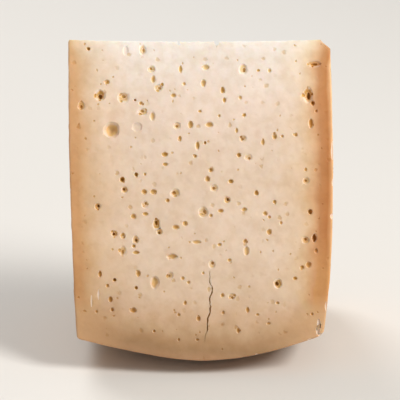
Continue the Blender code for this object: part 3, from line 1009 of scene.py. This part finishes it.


# How the cut cheese darkens towards its rinds and inside its eyes: depth in millimetres and tint.
# The bottom band is partly painted shade, the right edge's pale strip is a painted highlight, and
# the eyes' tint is partly painted shade
PASTE_BANDS = {
    "Left Depth": (
        (0.0, (0.90, 0.66, 0.44)), (0.9, (0.85, 0.59, 0.35)), (3.0, (0.84, 0.60, 0.36)),
        (5.0, (0.89, 0.72, 0.51)), (8.0, (0.94, 0.84, 0.69)), (12.0, (0.99, 0.93, 0.84)),
        (24.0, WHITE),
    ),
    # The pale stop at the right edge is a painted highlight where the edge catches the light;
    # inside it the paste darkens under the rind
    "Right Depth": (
        (0.0, (0.98, 0.76, 0.50)), (0.7, (0.84, 0.56, 0.31)), (1.7, (0.65, 0.33, 0.13)),
        (4.0, (0.69, 0.40, 0.20)), (6.0, (0.86, 0.63, 0.42)), (8.8, (0.94, 0.83, 0.65)),
        (12.5, (0.99, 0.95, 0.87)), (20.0, WHITE),
    ),
    # The bottom band: partly the paste darkening under the heel's rind, partly painted shade along
    # the bottom edge
    "Heel Depth": (
        (0.0, (0.70, 0.55, 0.44)), (1.5, (0.63, 0.50, 0.38)), (3.5, (0.58, 0.47, 0.34)),
        (6.0, (0.66, 0.54, 0.40)), (9.5, (0.81, 0.73, 0.62)), (14.0, (0.94, 0.87, 0.81)),
        (22.0, WHITE),
    ),
}  # fmt: skip
BAND_REACH = 30.0
# The eyes' ochre by their tone: partly the drier walls' own colour, partly painted shade inside the
# hollows
EYE_TINTS = (
    (0.0, WHITE),
    (0.25, (0.92, 0.78, 0.46)),
    (0.55, (0.78, 0.55, 0.19)),
    (1.0, (0.50, 0.30, 0.05)),
)


def blend(first, second, share):
    return tuple(a + (b - a) * share for a, b in zip(first, second))


def finish_surface(shader, height, bumpiness, inputs):
    """Gives a cheese material its bumps and its other inputs."""
    bumps = {"Height": height, "Strength": bumpiness, "Distance": 1 * MM}
    set_inputs(shader, inputs | {"Normal": add_node("ShaderNodeBump", bumps)[0]})


def paste_material(depth_group, shape, colours):
    """The cut cheese: pale at the core, with a painted highlight at the tip, tan under the rinds
    and darker lower down, partly painted shade, and ochre inside the eyes, partly painted shade.
    """
    material, tree, shader, coordinates = new_material("goat_cheese_paste")
    place = add_node("ShaderNodeGroup", {"Vector": coordinates}, node_tree=depth_group)
    radius, across = place["Radius"], place["Across"]
    share = calculate("DIVIDE", radius, shape.wheel_radius / MM)
    # Pale at the tip and darker downwards: partly the paste's own ageing, partly a painted
    # highlight at the tip and painted shade lower down
    stops = (
        (0.0, colours.tip),
        (0.06, blend(colours.tip, colours.paste, 0.55)),
        (0.20, colours.paste),
        (0.45, colours.paste_low),
        (0.64, colours.paste_low),
        (0.86, blend(colours.paste_low, (0.62, 0.44, 0.28), 0.6)),
    )
    colour = colour_ramp(share, stops)

    cloud = soft_noise(coordinates, 17 * MM, 3.0)
    colour = tinted(colour, cloud, ((0.3, (0.95, 0.93, 0.90)), (0.62, WHITE)))
    mottle = soft_noise(coordinates, 3.4 * MM)
    colour = tinted(colour, mottle, ((0.34, (0.94, 0.915, 0.875)), (0.6, WHITE)))

    uneven = stretch(soft_noise(coordinates, 9 * MM), 0.3, 0.7, 0.85, 1.15)
    tip_lift = stretch(radius, 0.0, 9.0, 3.0, 0.0)
    ends_lift = plus(tip_lift, stretch(radius, 76.0, 98.0, 0.0, 2.0))
    heel_lift = times(fade(across, 2.0, 20.0), fade(across, 38.0, 26.0))
    heel_lift = times(heel_lift, 2.4)
    band = WHITE
    for label, stops in PASTE_BANDS.items():
        depth = times(place[label], uneven)
        depth = plus(depth, heel_lift if label == "Heel Depth" else ends_lift)
        depth = calculate("DIVIDE", depth, BAND_REACH)
        tint = colour_ramp(depth, [(mm / BAND_REACH, tone) for mm, tone in stops])
        if label == "Right Depth":
            low = times(fade(radius, 64.0, 86.0), 0.6)
            tint = mix_colour(low, tint, (0.88, 0.62, 0.31), "LIGHTEN")
        band = mix_colour(1.0, band, tint, "DARKEN")
    colour = mix_colour(1.0, colour, band, "MULTIPLY")

    # The lower corners darken: partly the paste's own colour under two rinds, partly painted shade
    # along the bottom edges
    sideways = fade(calculate("ABSOLUTE", across), 20.0, 42.0)
    slant = stretch(across, -40.0, 40.0, -3.5, -2.0)
    low = fade(plus(place["Heel Depth"], slant), 13.5, 4.5)
    corner = times(times(sideways, low), 0.85)
    colour = mix_colour(corner, colour, (0.64, 0.40, 0.22))
    # Painted shade: the lower left, farthest from the light at the upper right, is darkened
    painted_shade_low_left = times(fade(radius, 62.0, 95.0), fade(across, -8.0, -36.0))
    colour = mix_colour(painted_shade_low_left, colour, (0.90, 0.87, 0.83), "MULTIPLY")

    # The eyes' ochre tint, partly painted shade in the hollows
    colour = tinted(colour, stored(tree, "eye_tone"), EYE_TINTS)
    # Painted highlight on the eyes' rims and on the chips
    colour = mix_colour(times(stored(tree, "eye_lip_highlight"), 0.3), colour, colours.tip)
    # Painted shade: the deepest hollows darken towards the deep colour
    colour = mix_colour(fade(place["Cut Depth"], 1.2, 3.2), colour, colours.deep)

    # Pores: small dots tinted darker, partly painted shade in pits too small to model
    pulled = pull_about(coordinates, 1.3 * MM, 1.1 * MM)
    pore = fade(cells(pulled, 4.2 * MM)["Distance"], 0.13, 0.05)
    colour = mix_colour(pore, colour, (0.82, 0.66, 0.40), "MULTIPLY")
    spots = cells(pulled, 4.6 * MM)
    strength = stretch(spots["Color"], 0.25, 0.75, 0.15, 1.0)
    spot = times(fade(spots["Distance"], 0.22, 0.08), strength)
    colour = mix_colour(spot, colour, (0.86, 0.75, 0.56), "MULTIPLY")
    grain = soft_noise(coordinates, 0.9 * MM, 3.0, 0.6)
    colour = tinted(colour, grain, ((0.25, (0.97, 0.955, 0.94)), (0.65, WHITE)))

    dimples = cells(coordinates, 3.1 * MM, "SMOOTH_F1")["Distance"]
    height = times(fade(dimples, 0.05, 0.4), 0.05)
    height = plus(height, times(grain, 0.02))
    height = plus(height, times(soft_noise(coordinates, 6 * MM, 1.0), 0.4))
    height = minus(height, times(calculate("MAXIMUM", pore, spot), 0.16))
    inputs = {
        "Base Color": colour,
        "Roughness": stretch(grain, 0.2, 0.8, 0.46, 0.62),
        "Subsurface Weight": 0.35,
        "Subsurface Radius": (1.0, 0.6, 0.3),
        "Subsurface Scale": 1.6 * MM,
        "Specular IOR Level": 0.35,
    }
    finish_surface(shader, height, 0.8, inputs)
    return material


def rind_material(depth_group, colours):
    """The rind: tan and brown patches, pale cloth marks and creases, and an orange edge. The marks'
    pale tops, the pale edge and the dents are partly painted highlight, and the gaps between the
    marks are partly painted shade.
    """
    material, tree, shader, coordinates = new_material("goat_cheese_rind")
    place = add_node("ShaderNodeGroup", {"Vector": coordinates}, node_tree=depth_group)
    patches = fade(soft_noise(coordinates, 15 * MM, 3.0), 0.38, 0.66)
    rosy = fade(soft_noise(coordinates, 38 * MM), 0.4, 0.6)

    # Along the wheel's edge the rind is smooth and orange, and palest on the edge itself: partly
    # its own pinkish edge line, partly a painted highlight
    edge = calculate("MINIMUM", place["Left Depth"], place["Right Depth"])
    edge = calculate("MAXIMUM", edge, place["Heel Depth"])
    drift = stretch(soft_noise(coordinates, 11 * MM), 0.3, 0.7, -2.5, 2.5)
    edge = plus(edge, drift)
    amber = fade(soft_noise(coordinates, 6 * MM), 0.48, 0.64)
    amber = times(amber, fade(edge, 8.5, 4.5))

    pulled = pull_about(coordinates, 5 * MM, 3 * MM)
    jitter = stretch(soft_noise(pulled, 3 * MM), 0.3, 0.7, -1.5, 1.5)
    bend = stretch(soft_noise(pulled, 2.3 * MM, 1.0), 0.3, 0.7, -0.8, 0.8)
    across = calculate("MULTIPLY_ADD", stored(tree, "cloth_u"), math.pi, bend)
    along = plus(times(stored(tree, "cloth_v"), math.tau), jitter)
    waves = times(calculate("COSINE", across), calculate("COSINE", along))
    strength = stored(tree, "cloth_strength")
    flecks = fade(soft_noise(coordinates, 1.7 * MM), 0.62, 0.76)

    colour = colours.rind
    for amount, share, tint, mode in (
        (patches, 1.0, colours.rind_brown, "MIX"),
        (rosy, 0.35, (0.58, 0.35, 0.22), "MIX"),
        (fade(edge, 11.0, 5.0), 0.85, colours.rim, "MIX"),
        (amber, 0.75, (0.60, 0.25, 0.05), "MIX"),
        (fade(edge, 4.0, 0.5), 0.7, (0.82, 0.57, 0.36), "MIX"),
        # The cloth marks' pale tops and dark gaps: partly the rind's own colour, partly a painted
        # highlight on the tops and painted shade in the gaps
        (times(fade(waves, 0.2, 0.75), strength), 0.95, colours.rind_pale, "MIX"),
        (times(fade(waves, 0.0, -0.7), strength), 1.0, (0.52, 0.40, 0.30), "MULTIPLY"),
        (times(flecks, strength), 0.8, (0.90, 0.76, 0.58), "MIX"),
        (stored(tree, "crease"), 0.62, colours.rind_pale, "MIX"),
        # The dents are pale: partly their white crystals, partly a painted highlight
        (fade(stored(tree, "dent"), 0.4, 0.8), 0.55, (0.88, 0.76, 0.60), "MIX"),
    ):
        colour = mix_colour(times(amount, share), colour, tint, mode)
    speckle = soft_noise(coordinates, 1.3 * MM, 3.0, 0.65)
    colour = tinted(colour, speckle, ((0.3, (0.88, 0.84, 0.79)), (0.6, WHITE)))

    height = times(times(waves, strength), 0.12)
    height = plus(height, times(speckle, 0.09))
    inputs = {
        "Base Color": colour,
        "Roughness": stretch(speckle, 0.2, 0.8, 0.42, 0.62),
        "Subsurface Weight": 0.15,
        "Subsurface Radius": (1.0, 0.5, 0.25),
        "Subsurface Scale": 1.2 * MM,
        "Specular IOR Level": 0.4,
    }
    finish_surface(shader, height, 0.9, inputs)
    return material


# The operators


class CHEESE_OT_wedge(bpy.types.Operator):
    """Turns the wedge's blank and presses the cloth's marks into its rind"""

    bl_idname = "cheese.wedge"
    bl_label = "Add the wedge"

    def execute(self, context):
        scene = context.scene
        shape, marks, colours = scene.cheese_shape, scene.cheese_rind, scene.cheese_colours
        wedge = turned_blank(shape)
        refine_flat_rinds(wedge)
        set_points(wedge.data, make_uneven(shape, points_of(wedge.data)))
        press_cloth(shape, marks, wedge.data)
        press_foot(wedge.data)
        depth_group = wheel_depth_group(shape)
        wedge.data.materials.append(paste_material(depth_group, shape, colours))
        wedge.data.materials.append(rind_material(depth_group, colours))
        slots = np.full(len(wedge.data.polygons), RIND, np.int32)
        wedge.data.polygons.foreach_set("material_index", slots)
        return {"FINISHED"}


class CHEESE_OT_cuts(bpy.types.Operator):
    """Cuts the wedge with the knife, opens its eyes and its crack, and wears its tip"""

    bl_idname = "cheese.cuts"
    bl_label = "Cut the wedge"

    def execute(self, context):
        scene = context.scene
        shape, marks, eyes = scene.cheese_shape, scene.cheese_rind, scene.cheese_eyes
        wedge = bpy.data.objects["goat_cheese_wedge"]
        for name in ("eye_tone", "eye_lip_highlight"):
            store_values(wedge.data, name, 0)
        front, back = cut_frame(shape, -1), cut_frame(shape, 1)
        take_away(wedge, [knife_cut(shape, -1)], "front_cut")
        take_away(wedge, [knife_cut(shape, 1)], "back_cut")
        draw, draw_sides = random.Random(eyes.seed), random.Random(eyes.seed + 2)
        balls = lumpy_balls(eyes.lumps)
        bowls, holes, sides = [], [], []
        for axes, cut_eyes in ((front, FRONT_EYES), (back, back_eyes(shape, eyes))):
            sides += side_holes(axes, cut_eyes, balls, draw_sides)
            for eye in cut_eyes:
                bowl, *inner = eye_holes(axes, eye, balls, draw)
                bowls.append(bowl)
                holes += inner
        for nick in TIP_NOTCHES:
            bowls.append(eye_ball(front, nick, balls, draw, NOTCH_LIP, 0))
        for nick in EDGE_NICKS:
            chip = eye_ball(front, nick, balls, draw, CHIP_LIP, 0)
            # The chips are painted paler, partly a painted highlight
            store_values(chip.data, "eye_lip_highlight", CHIP_LIGHTNESS)
            bowls.append(chip)
        for ball in balls.values():
            bpy.data.objects.remove(ball)
        take_away(wedge, bowls, "eyes")
        take_away(wedge, holes, "deep_eyes")
        take_away(wedge, sides, "side_holes")
        take_away(wedge, [crack_blade(shape, eyes)], "crack")
        take_away(wedge, [worn_tip(shape)], "tip")
        pick(wedge)
        bpy.ops.object.shade_smooth_by_angle(angle=SMOOTH_ANGLE)
        store_rind_looks(shape, marks, wedge.data)
        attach(wedge, "root")
        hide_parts("cheese_wedge")
        return {"FINISHED"}


def area_light(name, power, size, place, target, colour):
    light = bpy.data.lights.new(name, "AREA")
    light.energy = power
    light.size = size
    light.spread = LIGHT_SPREAD
    light.color = colour
    lamp = bpy.data.objects.new(name, light)
    lamp.location = place
    lamp.rotation_euler = (Vector(target) - Vector(place)).to_track_quat("-Z", "Y").to_euler()
    lamp.visible_camera = False
    bpy.context.collection.objects.link(lamp)


class CHEESE_OT_stage(bpy.types.Operator):
    """Adds the pale floor, the soft lights and the camera"""

    bl_idname = "cheese.stage"
    bl_label = "Add the stage"

    def execute(self, context):
        scene = context.scene
        stage, shape = scene.cheese_stage, scene.cheese_shape
        bpy.ops.mesh.primitive_circle_add(vertices=128, radius=FLOOR_RADIUS, fill_type="NGON")
        floor = context.object
        floor.name = "studio_floor"
        start_editing(floor)
        turns = np.linspace(0, math.pi / 2, WALL_STEPS + 1)
        rises = np.diff(WALL_RISE * (1 - np.cos(turns)))
        radii = FLOOR_RADIUS + WALL_RISE * np.sin(turns)
        for rise, grow in zip(rises, radii[1:] / radii[:-1]):
            bpy.ops.mesh.select_all(action="DESELECT")
            bpy.ops.mesh.select_non_manifold()
            bpy.ops.mesh.extrude_edges_move(TRANSFORM_OT_translate={"value": (0, 0, rise)})
            bpy.ops.transform.resize(value=(grow, grow, 1))
        stop_editing()
        bpy.ops.object.shade_smooth()
        material, _, shader, _ = new_material("studio_floor")
        set_inputs(shader, {"Base Color": (0.72, 0.71, 0.69), "Roughness": 0.75})
        floor.data.materials.append(material)

        world = bpy.data.worlds.new("studio")
        world.use_nodes = True
        background = world.node_tree.nodes["Background"]
        set_inputs(background, {"Color": (1.0, 0.97, 0.93), "Strength": stage.sky})
        scene.world = world

        target = on_wheel(shape, 0, AIM_RADIUS, -shape.wedge_angle / 2)
        area_light("key", stage.key_power, 0.42, (0.88, -0.5, 0.82), target, (1, 0.97, 0.92))
        area_light("fill", stage.fill_power, 0.9, (-0.9, -0.7, 0.5), target, (1, 0.95, 0.9))
        area_light("back", stage.back_power, 0.6, (-0.45, 0.8, 0.8), target, (1, 0.97, 0.94))

        middle = on_wheel(shape, 0.4 * MM, AIM_RADIUS, -shape.wedge_angle / 2)
        flat = math.cos(stage.elevation)
        sideways, forwards = math.sin(stage.azimuth) * flat, math.cos(stage.azimuth) * flat
        out = Vector((sideways, -forwards, math.sin(stage.elevation)))
        camera = bpy.data.objects.new("camera", bpy.data.cameras.new("camera"))
        camera.location = middle + out * stage.distance
        facing_it = (-out).to_track_quat("-Z", "Y")
        camera.rotation_euler = (facing_it @ Quaternion((0, 0, 1), stage.roll)).to_euler()
        view_width = PICTURE_SIZE / PIXELS_PER_METRE
        camera.data.lens = stage.distance / view_width * camera.data.sensor_width
        camera.data.clip_start = 0.01
        scene.collection.objects.link(camera)
        scene.camera = camera
        scene.view_settings.view_transform = "Standard"
        return {"FINISHED"}


class CHEESE_PT_panel(bpy.types.Panel):
    """Lists the steps that build the wedge"""

    bl_idname = "CHEESE_PT_panel"
    bl_label = "Goat cheese wedge"
    bl_space_type = "VIEW_3D"
    bl_region_type = "UI"
    bl_category = "Cheese"

    def draw(self, context):
        for operator, *names in (
            ("cheese.wedge", "cheese_shape", "cheese_rind", "cheese_colours"),
            ("cheese.cuts", "cheese_eyes"),
            ("cheese.stage", "cheese_stage"),
        ):
            box = self.layout.box()
            box.operator(operator)
            for group in (getattr(context.scene, name) for name in names):
                for key in group.bl_rna.properties.keys():
                    if key not in ("rna_type", "name"):
                        box.prop(group, key)


CLASSES = (
    CheeseShape,
    RindMarks,
    CheeseEyes,
    CheeseColours,
    CheeseStage,
    CHEESE_OT_wedge,
    CHEESE_OT_cuts,
    CHEESE_OT_stage,
    CHEESE_PT_panel,
)
SETTINGS = {
    "cheese_shape": CheeseShape,
    "cheese_rind": RindMarks,
    "cheese_eyes": CheeseEyes,
    "cheese_colours": CheeseColours,
    "cheese_stage": CheeseStage,
}


def register():
    for cls in CLASSES:
        bpy.utils.register_class(cls)
    for name, group in SETTINGS.items():
        setattr(bpy.types.Scene, name, PointerProperty(type=group))


def unregister():
    for name in SETTINGS:
        delattr(bpy.types.Scene, name)
    for cls in reversed(CLASSES):
        bpy.utils.unregister_class(cls)


def main():
    register()
    bpy.ops.cheese.wedge()
    bpy.ops.cheese.cuts()
    bpy.ops.cheese.stage()


if __name__ == "__main__":
    main()
